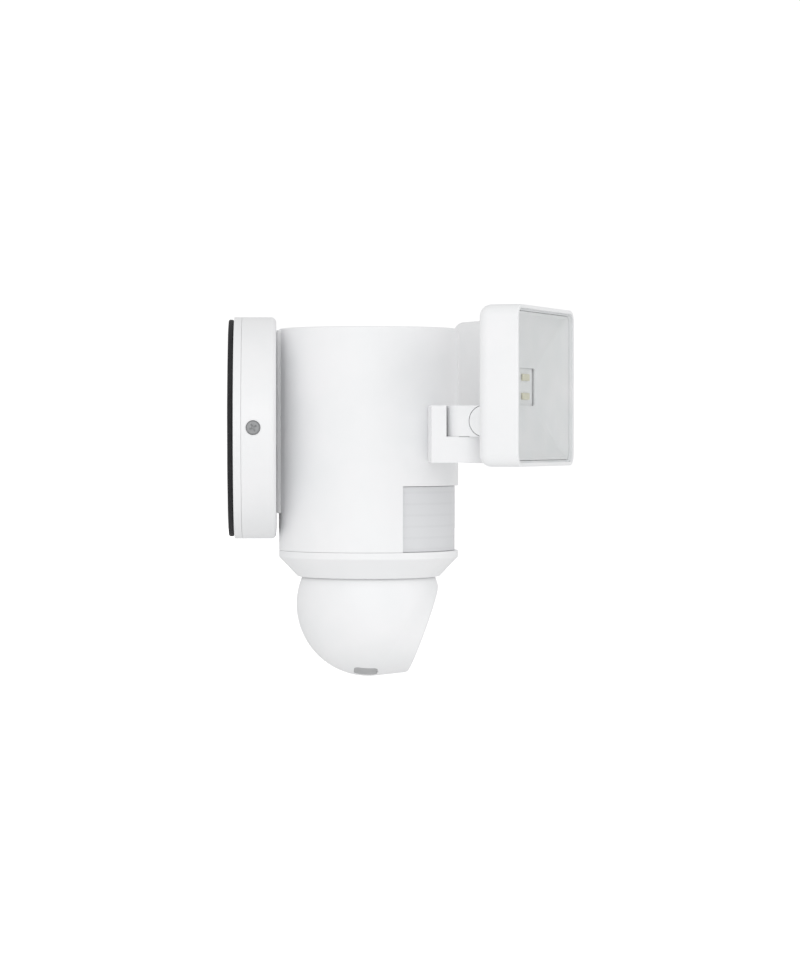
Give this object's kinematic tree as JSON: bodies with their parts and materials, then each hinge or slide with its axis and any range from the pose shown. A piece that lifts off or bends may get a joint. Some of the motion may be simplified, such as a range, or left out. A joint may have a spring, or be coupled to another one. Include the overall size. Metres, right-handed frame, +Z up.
{
  "type": "floodlight security camera",
  "caption": "Wall floodlight with square lamps on jointed arms and a pan and tilt camera in a ball below an upright cylinder.",
  "frame": {"origin": "centre of the gasket's rear face, on the wall", "axes": "+Y into the wall, -Y towards the front of the fixture, +Z up, +X towards the right lamp as seen by someone facing the fixture"},
  "size_m": [0.2888, 0.1991, 0.2132],
  "materials": {
    "white_abs": "satin moulded",
    "black_rubber": "matt cellular",
    "window_polyethylene": "translucent satin",
    "zinc_steel": "zinc plated",
    "acetal": "moulded",
    "inner_abs": "moulded",
    "circuit_board": "solder mask",
    "dark_plastic": "moulded",
    "aluminium_can": "drawn",
    "black_glass": "polished",
    "lens_glass": "coated",
    "clear_acrylic": "clear",
    "white_reflector": "satin white",
    "led_phosphor": "phosphor coated",
    "grey_silicone": "satin"
  },
  "bodies": {
    "fixture": {"wall_gasket": "black_rubber", "wall_base": "white_abs", "mounting_strap": "zinc_steel", "canopy_cover": "white_abs", "side_screw_left": "zinc_steel", "side_screw_right": "zinc_steel", "strap_screw_upper": "zinc_steel", "strap_screw_lower": "zinc_steel", "terminal_block": "acetal", "housing_shell": "white_abs", "lower_collar": "white_abs", "pir_window": "window_polyethylene", "pir_board": "circuit_board", "pir_sensor_left": "aluminium_can", "pir_sensor_right": "aluminium_can", "inner_chassis": "inner_abs", "main_board": "circuit_board", "rf_shield": "zinc_steel", "power_board": "circuit_board", "transformer": "dark_plastic", "bulk_capacitor": "dark_plastic", "speaker": "dark_plastic", "pan_motor": "aluminium_can", "pan_bush": "acetal", "bracket_left": "white_abs", "bracket_right": "white_abs"},
    "turret": {"yoke": "inner_abs", "pan_gear": "acetal", "pan_clip": "zinc_steel", "tilt_motor": "aluminium_can"},
    "pan_drive": {"pan_pinion": "acetal"},
    "tilt_drive": {"tilt_pinion": "acetal"},
    "camera_head": {"ball_shell": "white_abs", "front_glass": "black_glass", "wide_lens": "lens_glass", "tele_lens": "lens_glass", "camera_board": "circuit_board", "camera_frame": "inner_abs", "tilt_gear": "acetal", "card_socket": "dark_plastic"},
    "service_flap": {"service_cover": "grey_silicone"},
    "reset": {"reset_button": "dark_plastic"},
    "knuckle_left": {"knuckle_left": "white_abs", "pan_pivot_left": "zinc_steel"},
    "lamp_left": {"lamp_housing_left": "white_abs", "lamp_cover_left": "clear_acrylic", "lamp_reflector_left": "white_reflector", "led_board_left": "white_reflector", "led_upper_left": "led_phosphor", "led_lower_left": "led_phosphor", "tilt_pin_left": "zinc_steel"},
    "knuckle_right": {"knuckle_right": "white_abs", "pan_pivot_right": "zinc_steel"},
    "lamp_right": {"lamp_housing_right": "white_abs", "lamp_cover_right": "clear_acrylic", "lamp_reflector_right": "white_reflector", "led_board_right": "white_reflector", "led_upper_right": "led_phosphor", "led_lower_right": "led_phosphor", "tilt_pin_right": "zinc_steel"}
  },
  "joints": [
    {"name": "camera_pan", "type": "hinge", "parent": "fixture", "child": "turret", "pos_m": [0, -0.082, -0.1035], "axis": [0, 0, 1], "range_deg": [-175, 175]},
    {"name": "pan_pinion_spin", "type": "hinge", "parent": "fixture", "child": "pan_drive", "pos_m": [0, -0.04585, -0.054], "axis": [0, 0, 1], "range_deg": [-540, 540]},
    {"name": "camera_tilt", "type": "hinge", "parent": "turret", "child": "camera_head", "pos_m": [0, -0.082, -0.1035], "axis": [1, 0, 0], "range_deg": [-20, 35]},
    {"name": "tilt_pinion_spin", "type": "hinge", "parent": "turret", "child": "tilt_drive", "pos_m": [0, -0.06993, -0.08259], "axis": [1, 0, 0], "range_deg": [-120, 70]},
    {"name": "service_cover_pull", "type": "slide", "parent": "camera_head", "child": "service_flap", "axis": [-0.3907, 0.0514, -0.9191], "range_m": [0, 0.006]},
    {"name": "reset_press", "type": "slide", "parent": "camera_head", "child": "reset", "axis": [0.3907, -0.0514, 0.9191], "range_m": [0, 0.0005], "stiffness_N_per_m": 300},
    {"name": "lamp_pan_left", "type": "hinge", "parent": "fixture", "child": "knuckle_left", "pos_m": [-0.076, -0.134, -0.005], "axis": [0, 0, -1], "range_deg": [-27, 38]},
    {"name": "lamp_tilt_left", "type": "hinge", "parent": "knuckle_left", "child": "lamp_left", "pos_m": [-0.08156, -0.14804, 0.0037], "axis": [0.9298, -0.3681, 0], "range_deg": [-12, 30]},
    {"name": "lamp_pan_right", "type": "hinge", "parent": "fixture", "child": "knuckle_right", "pos_m": [0.076, -0.134, -0.005], "axis": [0, 0, 1], "range_deg": [-27, 38]},
    {"name": "lamp_tilt_right", "type": "hinge", "parent": "knuckle_right", "child": "lamp_right", "pos_m": [0.08156, -0.14804, 0.0037], "axis": [0.9298, 0.3681, 0], "range_deg": [-12, 30]}
  ],
  "couplings": [
    {"joint": "pan_pinion_spin", "follows": "camera_pan", "ratio": -3},
    {"joint": "tilt_pinion_spin", "follows": "camera_tilt", "ratio": -3}
  ]
}
